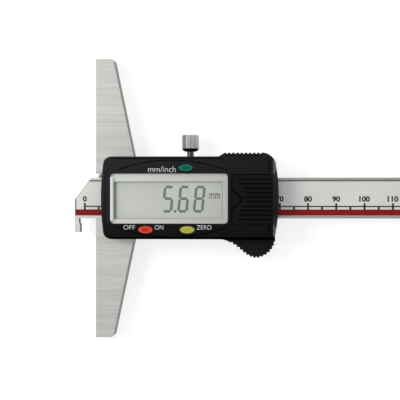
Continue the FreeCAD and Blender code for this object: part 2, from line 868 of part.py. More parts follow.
def make_zebra_strips():
    spread = glass_margin - zebra_gap
    left = window_left - spread
    right = window_left + window_width + spread
    low = window_centre_y - window_height / 2 - spread
    high = window_centre_y + window_height / 2 + spread
    return [box(left, right, low, low + zebra_width, board_top, glass_bottom),
            box(left, right, high - zebra_width, high, board_top, glass_bottom)]


# Circuit board

def make_board():
    below = base_thickness - past
    above = board_top + past
    board = box(board_left, plate_right - board_right_gap, slider_bottom + board_margin,
                slider_top - board_margin, base_thickness, board_top)
    reach = boss_radius + board_gap
    notches = [rod(reach, x, y, below, above) for x, y in cover_screw_places()]
    for x, y in cover_screw_places():
        side = 1 if y > 0 else -1
        low, high = sorted((y, y + side * cover_screw_inset))
        notches.append(box(x - reach, x + reach, low, high, below, above))
    holes = [rod(board_screw_radius + screw_gap, x, y, below, above) for x, y in board_screw_places()]
    return board.cut(notches + holes)


def make_board_screws():
    return [screw(x, y, board_top, base_thickness - plate_screw_depth, board_screw_radius,
                  board_screw_head, board_screw_head_height) for x, y in board_screw_places()]


def make_board_parts():
    middle_x = window_left + window_width / 2
    half = chip_size / 2
    chip = rounded_box(middle_x - half, middle_x + half, window_centre_y - half, window_centre_y + half,
                       board_top, board_top + chip_height, chip_corner)
    crystal_end = Vector(window_left + crystal_inset, window_centre_y, board_top + crystal_radius)
    crystal = Part.makeCylinder(crystal_radius, crystal_length, crystal_end, Vector(1, 0, 0))
    capacitors = []
    for number in range(capacitor_count):
        x = window_left + window_width - capacitor_inset - number * capacitor_pitch
        capacitors.append(box(x - capacitor_size, x, window_centre_y, window_centre_y + capacitor_size / 2,
                              board_top, board_top + capacitor_size / 2))
    return chip, crystal, capacitors


def make_domes():
    domes = []
    rise = (dome_radius ** 2 - dome_height ** 2) / (2 * dome_height)
    for x, y in button_places():
        ball = Part.makeSphere(rise + dome_height, Vector(x, y, board_top - rise))
        domes.append(ball.common(rod(dome_radius, x, y, board_top, board_top + dome_height)))
    return domes


def make_button(centre):
    top = cover_front + button_proud
    flange_top = roof_under - button_gap
    flange_low = flange_top - flange_thickness
    cap = oval(centre, button_length, button_width, flange_top, top)
    rim = [edge for edge in cap.Edges if edge.CenterOfMass.z > top - tiny]
    cap = cap.makeFillet(button_round, rim)
    flange = oval(centre, button_length + 2 * flange_margin, button_width + 2 * flange_margin,
                  flange_low, flange_top)
    tip = board_top + dome_height + button_travel + tip_clearance
    return join([cap, flange, rod(stem_radius, centre[0], centre[1], tip, flange_low)])


# Battery

def make_cell():
    cell = rod(cell_radius, cell_x, door_centre_y, cell_bottom, cell_bottom + cell_height)
    rims = [edge for edge in cell.Edges if len(edge.Vertexes) == 1]
    return cell.makeFillet(cell_rim, rims)


def make_contacts():
    half = contact_width / 2
    reach = cell_x - cell_radius
    low = door_centre_y - half
    high = door_centre_y + half
    foot_top = board_top + contact_thickness
    start = reach + contact_inset
    foot = box(start, plate_right - board_right_gap, low, high, board_top, foot_top)
    rise = box(start, start + contact_thickness, low, high, board_top, cell_bottom)
    leaf = box(start, start + contact_leaf, low, high, cell_bottom - leaf_thickness, cell_bottom)
    negative = join([foot, rise, leaf])
    edge_x = reach - contact_thickness
    post = box(edge_x, reach, low, high, board_top, cell_bottom + post_reach)
    base = box(edge_x - contact_thickness, reach, low, high, board_top, foot_top)
    positive = join([post, base])
    return positive, negative


# Write every piece

os.makedirs("parts", exist_ok=True)

scale_strip, scale_label = make_scale()
end_stop, end_stop_screws = make_stop()
left_plate, right_plate = make_guide_plates()
window_lens, display_frame = make_lens_and_mask()
controller_chip, crystal_can, capacitor_group = make_board_parts()
contact_positive, contact_negative = make_contacts()

save("beam", make_beam())
save("scale_strip", scale_strip)
save("scale_label", scale_label)
save("end_stop", end_stop)
save("end_stop_screws", *end_stop_screws)
save("base_slider", make_base_slider())
save("gib_strip", make_gib())
save("gib_screws", *make_gib_screws())
save("guide_plate_left", left_plate)
save("guide_plate_right", right_plate)
save("guide_plate_screws", *make_plate_screws())
save("rear_label", make_rear_label())
save("lock_screw_stud", make_lock_stud())
save("lock_screw_head", make_lock_head())
save("front_cover", make_cover())
save("battery_door", make_door())
save("cover_screws", *make_cover_screws())
save("window_lens", window_lens)
save("display_frame", display_frame)
save("lcd_glass", glass_box(0, glass_bottom, glass_top))
save("lcd_holder", make_holder())
save("zebra_strips", *make_zebra_strips())
save("sensor_board", make_board())
save("board_screws", *make_board_screws())
save("controller_chip", controller_chip)
save("crystal_can", crystal_can)
save("board_capacitors", *capacitor_group)
save("key_domes", *make_domes())
save("button_unit", make_button(unit_button))
save("button_on_off", make_button(on_off_button))
save("button_zero", make_button(zero_button))
save("battery_cell", make_cell())
save("battery_contact_positive", contact_positive)
save("battery_contact_negative", contact_negative)
print("beam", round(beam_left, 2), "to", round(beam_right, 2), "mm; travel out", round(travel_out, 2), "mm")
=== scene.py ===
import math

import bmesh
import bpy
from mathutils import Euler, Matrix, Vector


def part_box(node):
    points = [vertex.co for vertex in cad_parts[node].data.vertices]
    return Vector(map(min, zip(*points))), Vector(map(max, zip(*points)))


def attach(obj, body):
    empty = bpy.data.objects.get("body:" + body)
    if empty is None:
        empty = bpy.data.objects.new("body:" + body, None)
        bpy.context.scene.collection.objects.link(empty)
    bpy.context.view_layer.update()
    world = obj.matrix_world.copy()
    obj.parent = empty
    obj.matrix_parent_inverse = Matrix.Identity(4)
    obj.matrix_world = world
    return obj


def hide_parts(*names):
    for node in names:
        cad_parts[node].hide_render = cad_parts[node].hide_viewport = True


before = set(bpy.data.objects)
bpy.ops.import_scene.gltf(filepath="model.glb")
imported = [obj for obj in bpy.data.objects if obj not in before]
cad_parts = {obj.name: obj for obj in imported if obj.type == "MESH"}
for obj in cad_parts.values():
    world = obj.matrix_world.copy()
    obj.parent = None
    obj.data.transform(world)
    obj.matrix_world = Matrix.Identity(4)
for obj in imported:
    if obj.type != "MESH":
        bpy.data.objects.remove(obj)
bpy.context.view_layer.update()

mm = 0.001


# Small habits used all over: what is selected, how a mesh is edited, how modifiers are applied

def clearSelection():
    if bpy.context.mode != "OBJECT":
        bpy.ops.object.mode_set(mode="OBJECT")
    bpy.ops.object.select_all(action="DESELECT")


def take(piece):
    clearSelection()
    piece.hide_set(False)
    piece.select_set(True)
    bpy.context.view_layer.objects.active = piece


def startEdit(piece, kind="FACE", everything=False):
    take(piece)
    bpy.ops.object.mode_set(mode="EDIT")
    bpy.ops.mesh.select_mode(type=kind)
    bpy.ops.mesh.select_all(action="SELECT" if everything else "DESELECT")


def endEdit():
    bpy.ops.object.mode_set(mode="OBJECT")


def pickFaces(piece, wanted):
    # faces for which wanted(centre, normal) is true are selected, in edit mode
    mesh = bmesh.from_edit_mesh(piece.data)
    for face in mesh.faces:
        face.select_set(False)
    for face in mesh.faces:
        if wanted(face.calc_center_median(), face.normal):
            face.select_set(True)
    mesh.select_flush_mode()
    bmesh.update_edit_mesh(piece.data)


def applyModifier(piece, kind, **settings):
    take(piece)
    modifier = piece.modifiers.new(kind.title(), kind)
    for name, value in settings.items():
        setattr(modifier, name, value)
    bpy.ops.object.modifier_apply(modifier=modifier.name)


def settle(piece):
    # object back at the origin, its place in its mesh
    take(piece)
    bpy.ops.object.transform_apply(location=True, rotation=True, scale=True)


def joinPieces(parts, name):
    clearSelection()
    for part in parts:
        part.select_set(True)
    bpy.context.view_layer.objects.active = parts[0]
    if len(parts) > 1:
        bpy.ops.object.join()
    parts[0].name = name
    parts[0].data.name = name
    return parts[0]


def paint(piece, *materials):
    piece.data.materials.clear()
    for material in materials:
        piece.data.materials.append(material)


def assignPicked(piece, index):
    piece.active_material_index = index
    bpy.ops.object.material_slot_assign()


def thicken(thickness):
    # the picked flat faces become a closed slab
    bpy.ops.mesh.extrude_region_move(TRANSFORM_OT_translate={"value": (0, 0, thickness)})
    bpy.ops.mesh.select_all(action="SELECT")
    bpy.ops.mesh.normals_make_consistent(inside=False)
    endEdit()


def pullRing(shift, share, centre):
    # the picked end face is pulled out by shift and resized by share, both along X, Y and Z
    bpy.ops.mesh.extrude_region_move(TRANSFORM_OT_translate={"value": shift})
    bpy.ops.transform.resize(value=share, center_override=centre)


def towards(x=0, y=0, z=0):
    # picks the faces that look one way
    way = Vector((x, y, z))
    return lambda centre, normal: normal.dot(way) > 0.9


def placePiece(piece, body, slot, *nodes):
    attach(piece, body)
    if nodes:
        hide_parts(*nodes)


# Shader recipes: an expression on values adds its Math nodes

class Value:
    def __init__(self, recipe, socket):
        self.recipe = recipe
        self.socket = socket

    def maths(self, operation, other, turned=False):
        ends = [other, self] if turned else [self, other]
        return self.recipe.node("ShaderNodeMath", {"operation": operation}, dict(enumerate(ends)))

    def __add__(self, other):
        return self.maths("ADD", other)

    def __radd__(self, other):
        return self.maths("ADD", other, True)

    def __sub__(self, other):
        return self.maths("SUBTRACT", other)

    def __rsub__(self, other):
        return self.maths("SUBTRACT", other, True)

    def __mul__(self, other):
        return self.maths("MULTIPLY", other)

    def __rmul__(self, other):
        return self.maths("MULTIPLY", other, True)


class Recipe:
    def __init__(self, name, world=False):
        self.owner = bpy.data.worlds.new(name) if world else bpy.data.materials.new(name)
        self.owner.use_nodes = True
        self.tree = self.owner.node_tree
        self.tree.nodes.clear()

    def node(self, kind, settings=None, inputs=None, output=0):
        made = self.tree.nodes.new(kind)
        for name, value in (settings or {}).items():
            setattr(made, name, value)
        for name, value in (inputs or {}).items():
            if isinstance(value, Value):
                self.tree.links.new(value.socket, made.inputs[name])
            else:
                made.inputs[name].default_value = value
        return Value(self, made.outputs[output]) if made.outputs else None

    def place(self, scale=(1, 1, 1)):
        where = self.node("ShaderNodeTexCoord", output="Object")
        return self.node("ShaderNodeMapping", inputs={"Vector": where, "Scale": scale})

    def along(self, axis):
        return self.node("ShaderNodeSeparateXYZ", inputs={0: self.place()}, output=axis)

    def noise(self, scale, detail, rough):
        return self.node("ShaderNodeTexNoise", inputs={"Vector": self.place(scale), "Scale": 1.0,
                                                       "Detail": detail, "Roughness": rough})

    def ramp(self, value, low, high, start=0.0, end=1.0):
        return self.node("ShaderNodeMapRange", {"clamp": True},
                         {"Value": value, "From Min": low, "From Max": high, "To Min": start, "To Max": end})

    def mix(self, amount, first, second):
        return self.node("ShaderNodeMix", {"data_type": "RGBA"}, {0: amount, 6: first, 7: second}, output=2)

    def fade(self, colour, start, end, share):
        # painted shade: colour as it is up to start, in mm along X, and share of it from end on
        level = self.ramp(self.along("X"), start * mm, end * mm, 1.0, share)
        grey = self.node("ShaderNodeCombineColor", inputs={0: level, 1: level, 2: level})
        return self.node("ShaderNodeMix", {"data_type": "RGBA", "blend_type": "MULTIPLY"},
                         {0: 1.0, 6: colour, 7: grey}, output=2)

    def bump(self, height, distance, strength):
        return self.node("ShaderNodeBump", inputs={"Height": height, "Distance": distance,
                                                   "Strength": strength})

    def finish(self, **sockets):
        names = {"colour": "Base Color", "metal": "Metallic", "rough": "Roughness", "normal": "Normal",
                 "specular": "Specular IOR Level", "coat": "Coat Weight", "coatRough": "Coat Roughness"}
        shader = self.node("ShaderNodeBsdfPrincipled",
                           inputs={names[name]: value for name, value in sockets.items()})
        self.node("ShaderNodeOutputMaterial", inputs={"Surface": shader})
        return self.owner


def shade(red, green, blue):
    return (red, green, blue, 1.0)


def tones(colour, less, more=1.0):
    # a deeper and a lighter shade of one colour
    return (shade(*[part * less for part in colour]),
            shade(*[min(part * more, 0.95) for part in colour]))


# Camera: straight over the gauge, far back, a little to the left of the middle of the beam

camera = {"place": (64.0925 * mm, 1.2575 * mm, 413.446 * mm), "tilt": (0.0022, 0.0550, 0.0),
          "lens": 102.28, "sensor": 36.0, "shift": (-0.03, -0.02), "near": 0.01, "far": 20.0}

eye = bpy.data.cameras.new("eye")
eye.lens = camera["lens"]
eye.sensor_width = camera["sensor"]
eye.sensor_fit = "HORIZONTAL"
eye.shift_x, eye.shift_y = camera["shift"]
eye.clip_start = camera["near"]
eye.clip_end = camera["far"]
eyeObject = bpy.data.objects.new("eye", eye)
eyeObject.location = camera["place"]
eyeObject.rotation_euler = Euler(camera["tilt"])
bpy.context.scene.collection.objects.link(eyeObject)
bpy.context.scene.camera = eyeObject
bpy.context.scene.view_settings.view_transform = "Standard"
print("camera set")


# Light: a white room, bright overhead and greyer towards its walls, with a soft grey card up on the right

room = {"ambient": 0.60, "seen": 1.0, "wall": 0.30, "wallEnds": 0.80,
        "card": (0.42, -0.16, 0.89), "cardNear": 0.12, "cardFar": 0.55, "cardLevel": 0.40}
lamps = {
    "left": {"place": (-0.42, 0.14, 0.52), "aim": (0.05, 0.0, 0.0), "size": 0.30, "power": 2.1},
    "behind": {"place": (0.12, 0.66, 0.46), "aim": (0.05, 0.0, 0.0), "size": 0.40, "power": 0.8},
    "right": {"place": (0.85, 0.16, 0.20), "aim": (0.06, 0.0, 0.01), "size": 0.35, "power": 1.5}}
floorPlan = {"reach": 3.0, "middle": 0.1, "colour": 0.42, "glow": 0.72, "below": 0.0002}


def seenDirectly(recipe, *kinds):
    # 1 for the kinds of ray named, 0 for light that spreads
    rays = [recipe.node("ShaderNodeLightPath", output="Is %s Ray" % kind) for kind in kinds]
    total = rays[0]
    for ray in rays[1:]:
        total = total.maths("MAXIMUM", ray)
    return total


def makeRoom():
    recipe = Recipe("room", world=True)
    way = recipe.node("ShaderNodeTexCoord", output="Generated")
    height = recipe.node("ShaderNodeSeparateXYZ", inputs={0: way}, output="Z")
    overhead = recipe.ramp(height, 0.0, room["wallEnds"], room["wall"], room["seen"])
    apart = recipe.node("ShaderNodeVectorMath", {"operation": "DISTANCE"}, {0: way, 1: room["card"]},
                        output="Value")
    card = recipe.ramp(apart, room["cardNear"], room["cardFar"], room["cardLevel"], 1.0)
    glossy = seenDirectly(recipe, "Glossy")
    straight = seenDirectly(recipe, "Camera", "Transmission")
    spread = 1 - glossy.maths("MAXIMUM", straight)
    strength = straight * room["seen"] + glossy * overhead * card + spread * room["ambient"]
    light = recipe.node("ShaderNodeBackground", inputs={"Color": shade(1, 1, 1), "Strength": strength})
    recipe.node("ShaderNodeOutputWorld", inputs={"Surface": light})
    bpy.context.scene.world = recipe.owner


def makeLamps():
    for name, plan in lamps.items():
        lamp = bpy.data.lights.new(name, "AREA")
        lamp.shape = "DISK"
        lamp.size = plan["size"]
        lamp.energy = plan["power"]
        holder = bpy.data.objects.new(name, lamp)
        holder.location = plan["place"]
        way = Vector(plan["aim"]) - Vector(plan["place"])
        holder.rotation_euler = way.to_track_quat("-Z", "Y").to_euler()
        bpy.context.scene.collection.objects.link(holder)


def makeFloor():
    clearSelection()
    bpy.ops.mesh.primitive_plane_add(size=floorPlan["reach"],
                                     location=(floorPlan["middle"], 0, -floorPlan["below"]))
    floor = bpy.context.active_object
    floor.name = "floor"
    recipe = Recipe("floorPaper")
    level = floorPlan["colour"]
    shown = seenDirectly(recipe, "Camera", "Glossy", "Transmission") * floorPlan["glow"]
    paper = recipe.node("ShaderNodeBsdfDiffuse", inputs={"Color": shade(level, level, level)})
    glow = recipe.node("ShaderNodeEmission", inputs={"Color": shade(1, 1, 1), "Strength": shown})
    lit = recipe.node("ShaderNodeAddShader", inputs={0: paper, 1: glow})
    under = recipe.node("ShaderNodeNewGeometry", output="Backfacing")
    clear = recipe.node("ShaderNodeBsdfTransparent")
    both = recipe.node("ShaderNodeMixShader", inputs={0: under, 1: lit, 2: clear})
    recipe.node("ShaderNodeOutputMaterial", inputs={"Surface": both})
    paint(floor, recipe.owner)


makeRoom()
makeLamps()
makeFloor()
print("room, lamps and floor made")


# Finishes

def makeGroundSteel(name, colour, rough, lineDepth, shadeSpan=None):
    # long fine grinding lines along X over a broad soft drift of tone; a span along X, where given, paints
    # shade that darkens it
    recipe = Recipe(name)
    lines = recipe.noise((45, 2600, 2600), 3.0, 0.6)
    broad = recipe.noise((12, 420, 420), 2.0, 0.5)
    cloud = recipe.noise((30, 30, 30), 2.0, 0.5)
    ground = recipe.mix(recipe.ramp(lines * 0.6 + broad * 0.4, 0.32, 0.68), *tones(colour, 0.80, 1.12))
    if shadeSpan:
        ground = recipe.fade(ground, *shadeSpan)
    return recipe.finish(colour=ground, metal=1.0,
                         rough=recipe.ramp(cloud + lines * 0.3, 0.35, 0.95, rough - 0.05, rough + 0.06),
                         normal=recipe.bump(lines, lineDepth, 0.35))


def makeTurnedSteel(name, colour, rough):
    # close fine grain, clouded by handling
    recipe = Recipe(name)
    grain = recipe.noise((3000, 3000, 3000), 3.0, 0.6)
    cloud = recipe.noise((260, 260, 260), 3.0, 0.6)
    return recipe.finish(colour=recipe.mix(recipe.ramp(cloud, 0.35, 0.7), *tones(colour, 0.72)), metal=1.0,
                         rough=recipe.ramp(grain, 0.3, 0.7, rough, rough + 0.12),
                         normal=recipe.bump(grain, 0.004 * mm, 0.4))


# Painted sheen on the case: where it runs, in mm along Y and along X, and the share of it at the far end
paintedSheen = {"across": (-14, 15), "length": (5, 60), "farShare": 0.55}


def makeMoulding(name, colour, rough, specular, grainDepth, sheenSpan=None):
    # spark-eroded grain with faint handling marks; the last value paints a sheen, a coat that runs from the
    # lower to the upper side and weakens towards the right
    recipe = Recipe(name)
    grain = recipe.noise((5200, 5200, 5200), 2.0, 0.55)
    rubbed = recipe.noise((140, 260, 200), 4.0, 0.65)
    coat = 0.0
    if sheenSpan:
        low, high = [part * mm for part in paintedSheen["across"]]
        start, end = [part * mm for part in paintedSheen["length"]]
        coat = (recipe.ramp(recipe.along("Y"), low, high, *sheenSpan)
                * recipe.ramp(recipe.along("X"), start, end, 1.0, paintedSheen["farShare"]))
    return recipe.finish(colour=recipe.mix(recipe.ramp(rubbed, 0.35, 0.72), *tones(colour, 0.82, 1.22)),
                         specular=specular, coat=coat, coatRough=rough,
                         rough=recipe.ramp(rubbed, 0.3, 0.75, rough + 0.05, rough - 0.06),
                         normal=recipe.bump(grain, grainDepth, 0.5))


def makeGloss(name, colour, rough, specular):
    # glossy moulded cap: a fine speckle of a deeper shade, and a slight ripple
    recipe = Recipe(name)
    ripple = recipe.noise((900, 900, 900), 3.0, 0.5)
    speck = recipe.noise((2600, 2600, 2600), 2.0, 0.5)
    return recipe.finish(colour=recipe.mix(recipe.ramp(speck, 0.3, 0.7), *tones(colour, 0.85)),
                         rough=recipe.ramp(ripple, 0.3, 0.7, rough, rough + 0.08), specular=specular,
                         normal=recipe.bump(ripple, 0.006 * mm, 0.3))


def makePlain(name, colour, rough, specular, grainSize, spread, shadeSpan=None, metal=0.0):
    # print, resin and the like: an even colour with a fine grain of its own shades; a span along X, where
    # given, paints shade that darkens it
    recipe = Recipe(name)
    grain = recipe.noise((grainSize, grainSize, grainSize), 3.0, 0.55)
    tone = recipe.ramp(grain, 0.32, 0.68)
    printed = recipe.mix(tone, *tones(colour, 1 - spread, 1 + spread))
    if shadeSpan:
        printed = recipe.fade(printed, *shadeSpan)
    return recipe.finish(colour=printed, metal=metal, specular=specular,
                         rough=recipe.ramp(grain, 0.3, 0.7, rough - 0.04, rough + 0.05),
                         normal=recipe.bump(grain, 0.003 * mm, 0.4))


def makeScaleFilm(name):
    # satin printed film: pale, with a very fine brushed look along the beam, and painted shade that darkens
    # it towards the right
    recipe = Recipe(name)
    brushed = recipe.noise((60, 3200, 3200), 2.0, 0.5)
    cloud = recipe.noise((35, 80, 80), 2.0, 0.5)
    tone = recipe.ramp(brushed * 0.5 + cloud * 0.5, 0.35, 0.65)
    film = recipe.mix(tone, shade(0.68, 0.69, 0.66), shade(0.755, 0.765, 0.735))
    return recipe.finish(colour=recipe.fade(film, 5, 68, 0.85),
                         rough=recipe.ramp(brushed, 0.3, 0.7, 0.38, 0.48), specular=0.35,
                         normal=recipe.bump(brushed, 0.002 * mm, 0.3))


def makeClearPane(name):
    # clear acrylic: seen through, with a sheen that grows at a slant
    recipe = Recipe(name)
    facing = recipe.node("ShaderNodeLayerWeight", inputs={"Blend": 0.18}, output="Fresnel")
    haze = recipe.noise((300, 300, 300), 3.0, 0.6)
    gloss = recipe.node("ShaderNodeBsdfPrincipled",
                        inputs={"Base Color": shade(0.90, 0.92, 0.90),
                                "Roughness": recipe.ramp(haze, 0.3, 0.7, 0.04, 0.09)})
    clear = recipe.node("ShaderNodeBsdfTransparent", inputs={"Color": shade(0.995, 0.998, 0.995)})
    amount = recipe.ramp(facing, 0.0, 1.0, 0.02, 0.45)
    both = recipe.node("ShaderNodeMixShader", inputs={0: amount, 1: clear, 2: gloss})
    recipe.node("ShaderNodeOutputMaterial", inputs={"Surface": both})
    return recipe.owner


def makeDisplayGlass(name):
    # reflective liquid crystal panel: grey-green, with a faint fine dither, and painted shade that darkens it
    # towards the right
    recipe = Recipe(name)
    dither = recipe.noise((6000, 6000, 6000), 1.0, 0.5)
    cloud = recipe.noise((60, 90, 60), 2.0, 0.5)
    tone = recipe.ramp(dither * 0.3 + cloud * 0.7, 0.35, 0.65)
    panel = recipe.mix(tone, shade(0.53, 0.548, 0.51), shade(0.595, 0.612, 0.575))
    return recipe.finish(colour=recipe.fade(panel, 16, 46, 0.93),
                         rough=recipe.ramp(dither, 0.3, 0.7, 0.42, 0.5), specular=0.25,
                         normal=recipe.bump(dither, 0.001 * mm, 0.3))


# How each finish is made, and the values for it after its name
finishPlans = {
    "baseSteel": (makeGroundSteel, (0.50, 0.493, 0.472), 0.36, 0.01 * mm),
    # the beam's steel is painted darker towards the right, as shade
    "beamSteel": (makeGroundSteel, (0.585, 0.573, 0.545), 0.34, 0.008 * mm, (10, 62, 0.65)),
    # brighter steel on the broken edges: partly worn edges, partly a painted highlight
    "edgeSteel": (makeGroundSteel, (0.60, 0.595, 0.58), 0.28, 0.004 * mm),
    "wallSteel": (makeGroundSteel, (0.20, 0.198, 0.185), 0.50, 0.006 * mm),
    "cutSteel": (makeTurnedSteel, (0.03, 0.03, 0.027), 0.60),
    "screwSteel": (makeTurnedSteel, (0.48, 0.48, 0.47), 0.30),
    "shankSteel": (makeTurnedSteel, (0.085, 0.083, 0.078), 0.34),
    "knobSteel": (makeTurnedSteel, (0.58, 0.58, 0.555), 0.58),
    "knobGroove": (makeTurnedSteel, (0.17, 0.17, 0.16), 0.46),
    "knobBowl": (makeTurnedSteel, (0.035, 0.034, 0.032), 0.40),
    "gibBrass": (makeTurnedSteel, (0.215, 0.205, 0.165), 0.45),
    # the last pair on the black mouldings is their painted sheen, from the lower to the upper side
    "caseBlack": (makeMoulding, (0.0024, 0.0024, 0.0024), 0.48, 0.05, 0.012 * mm, (0.02, 0.36)),
    "stepBlack": (makeMoulding, (0.0066, 0.0050, 0.0088), 0.42, 0.10, 0.004 * mm, (0.06, 0.16)),
    "restBlack": (makeMoulding, (0.0066, 0.0066, 0.0062), 0.48, 0.06, 0.010 * mm, (0.03, 0.06)),
    "grooveBlack": (makeMoulding, (0.0024, 0.0024, 0.0024), 0.70, 0.0, 0.004 * mm),
    "paneEdge": (makePlain, (0.68, 0.675, 0.71), 0.30, 0.4, 1500, 0.05),
    "lineBlack": (makeMoulding, (0.0004, 0.0004, 0.0004), 0.80, 0.0, 0.004 * mm),
    "edgeBlack": (makeMoulding, (0.008, 0.008, 0.0085), 0.40, 0.38, 0.006 * mm),
    "doorBlack": (makeMoulding, (0.0032, 0.0032, 0.0032), 0.48, 0.06, 0.010 * mm, (0.03, 0.06)),
    "innerBlack": (makeMoulding, (0.012, 0.012, 0.012), 0.60, 0.15, 0.006 * mm),
    "greenCap": (makeGloss, (0.0005, 0.118, 0.072), 0.28, 0.03),
    "redCap": (makeGloss, (0.62, 0.024, 0.008), 0.28, 0.05),
    "yellowCap": (makeGloss, (0.45, 0.40, 0.030), 0.28, 0.05),
    # each cap's skirt colour is a darker copy, painted shade, and its shoulder colour a lighter, glossier
    # copy, a painted highlight
    "greenCapSkirt": (makeGloss, (0.002, 0.035, 0.026), 0.34, 0.1),
    "redCapSkirt": (makeGloss, (0.20, 0.006, 0.004), 0.34, 0.1),
    "yellowCapSkirt": (makeGloss, (0.115, 0.098, 0.010), 0.34, 0.1),
    "greenCapShoulder": (makeGloss, (0.008, 0.130, 0.092), 0.24, 0.25),
    "redCapShoulder": (makeGloss, (0.58, 0.075, 0.050), 0.24, 0.35),
    "yellowCapShoulder": (makeGloss, (0.47, 0.43, 0.10), 0.22, 0.5),
    "scaleFilm": (makeScaleFilm,),
    "clearPane": (makeClearPane,),
    "displayGlass": (makeDisplayGlass,),
    # the mask's print is painted darker towards the right, as shade
    "maskPrint": (makePlain, (0.69, 0.705, 0.67), 0.42, 0.35, 2200, 0.03, (7.5, 44, 0.77)),
    "blackInk": (makePlain, (0.010, 0.010, 0.011), 0.45, 0.3, 2600, 0.2),
    "rimInk": (makePlain, (0.10, 0.10, 0.095), 0.45, 0.3, 2600, 0.2),
    "redInk": (makePlain, (0.222, 0.0085, 0.007), 0.42, 0.1, 2600, 0.10),
    "whiteInk": (makePlain, (0.68, 0.69, 0.71), 0.45, 0.3, 2600, 0.06),
    "displayInk": (makePlain, (0.150, 0.162, 0.150), 0.5, 0.2, 2600, 0.10),
    "panelShade": (makePlain, (0.20, 0.21, 0.195), 0.5, 0.2, 2600, 0.10),
    "rimShade": (makePlain, (0.46, 0.475, 0.445), 0.5, 0.2, 2600, 0.06),
    "faintInk": (makePlain, (0.19, 0.20, 0.185), 0.5, 0.2, 2600, 0.10),
    "boardGreen": (makePlain, (0.02, 0.10, 0.045), 0.35, 0.5, 900, 0.25),
    "stripCopper": (makePlain, (0.42, 0.24, 0.10), 0.35, 0.5, 700, 0.2, None, 1.0),
    "chipResin": (makePlain, (0.016, 0.016, 0.017), 0.5, 0.4, 2400, 0.2),
    "canMetal": (makeTurnedSteel, (0.62, 0.62, 0.60), 0.24),
    "ceramic": (makePlain, (0.42, 0.30, 0.18), 0.5, 0.4, 3000, 0.2),
    "rubber": (makePlain, (0.035, 0.035, 0.036), 0.75, 0.2, 3400, 0.25),
    "plateSatin": (makeGroundSteel, (0.60, 0.60, 0.59), 0.36, 0.003 * mm),
    "cellSteel": (makeTurnedSteel, (0.64, 0.64, 0.62), 0.22),
    "contactSteel": (makeTurnedSteel, (0.62, 0.60, 0.54), 0.26),
}
finishes = {name: make(name, *values) for name, (make, *values) in finishPlans.items()}
print("finishes mixed:", len(finishes))


# Machined and moulded pieces: their edges are broken as a maker breaks them

softEdges = {
    # node: (new name, body, slot, face finish, edge finish, edge width in mm)
    "base_slider": ("measuring_base", "slider", "satin_steel", "baseSteel", "edgeSteel", 0.12),
    "beam": ("measuring_beam", "beam", "satin_steel", "beamSteel", "edgeSteel", 0.10),
    "end_stop": ("beam_end_stop", "beam", "satin_steel", "beamSteel", "edgeSteel", 0.12),
    "front_cover": ("display_housing", "slider", "black_plastic", "caseBlack", "caseBlack", 0.10),
    "battery_door": ("sliding_battery_door", "battery_door", "black_plastic", "doorBlack", "doorBlack", 0.06),
    "window_lens": ("display_window", "slider", "clear_window", "clearPane", "clearPane", 0.12),
    "gib_strip": ("brass_gib", "slider", "gib_brass", "gibBrass", "gibBrass", 0.06),
    "rear_label": ("rear_plate", "slider", "plate_aluminium", "plateSatin", "plateSatin", 0.03),
}
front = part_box("front_cover")[1].z
restEdge = -14.1 * mm       # the housing's long lower side

# Bounds of what is finished apart on the plastic, in mm: depths are under the front; margin, round, slotIn,
# slotOut and rest are counted from the lower side; slotLow, slotHigh and step are heights
plastic = {"gapDepth": 2.6, "lineDepth": 0.9, "leastDepth": 0.2, "left": 4.5, "right": 64.2, "top": 14.05,
           "margin": 0.2, "roundReach": 1.3, "roundDepth": 1.2, "slotLow": 10.5, "slotHigh": 11.4,
           "slotOut": 0.8, "slotIn": 0.1, "teeth": 14.0, "step": 16.86, "arrow": 0.40, "rest": 0.75}
throat = {"right": -3, "top": -7.3}     # mm, the bounds of the hook's inner wall


def isSunk(centre, normal):
    # walls of gaps and grooves that open in the front, and floors of its lines
    upright = abs(normal.z) < 0.15 and front - plastic["gapDepth"] * mm < centre.z
    level = (normal.z > 0.9
             and front - plastic["lineDepth"] * mm < centre.z < front - plastic["leastDepth"] * mm)
    inside = (plastic["left"] * mm < centre.x < plastic["right"] * mm
              and restEdge + plastic["margin"] * mm < centre.y < plastic["top"] * mm)
    return level or upright and inside


def isLowerRound(centre, normal):
    # the rounded edge along the lower side, and the line over the thumb rest
    leaning = normal.y < -0.25 and normal.z > 0.05
    rounded = (leaning and centre.y < restEdge + plastic["roundReach"] * mm
               and centre.z > front - plastic["roundDepth"] * mm)
    slot = (plastic["slotLow"] * mm < centre.z < plastic["slotHigh"] * mm
            and restEdge - plastic["slotOut"] * mm < centre.y < restEdge + plastic["slotIn"] * mm)
    return rounded or slot and (abs(normal.z) > 0.9 or normal.y > 0.9)


def isToothSide(centre, normal):
    slanting = abs(normal.x) > 0.3 and normal.x < 0.95
    return slanting and centre.y > plastic["teeth"] * mm and centre.z > front - plastic["gapDepth"] * mm


def isEndSlope(centre, normal):
    return normal.x > 0.5 and 0.2 < normal.z < 0.7


def isThumbRest(centre, normal):
    return centre.y < restEdge - plastic["rest"] * mm


def isMilledSide(centre, normal):
    # the base's sides, all but its lapped measuring face; their darker steel is painted shade
    return abs(normal.z) < 0.3 and normal.x > -0.9


def isThroat(centre, normal):
    # the spark-cut wall inside the hook; its dark steel is painted shade
    inside = centre.x < throat["right"] * mm and centre.y < throat["top"] * mm
    return inside and abs(normal.z) < 0.3 and normal.x > 0.3


def onLevel(height):
    # picks the level faces at one height
    return lambda centre, normal: normal.z > 0.9 and abs(centre.z - height) < 0.02 * mm


def isDoorSide(way):
    # picks one long side of the door over its runners: way is 1 towards the lock screw, or -1
    return lambda centre, normal: normal.y * way > 0.9 and centre.z > 15.5 * mm


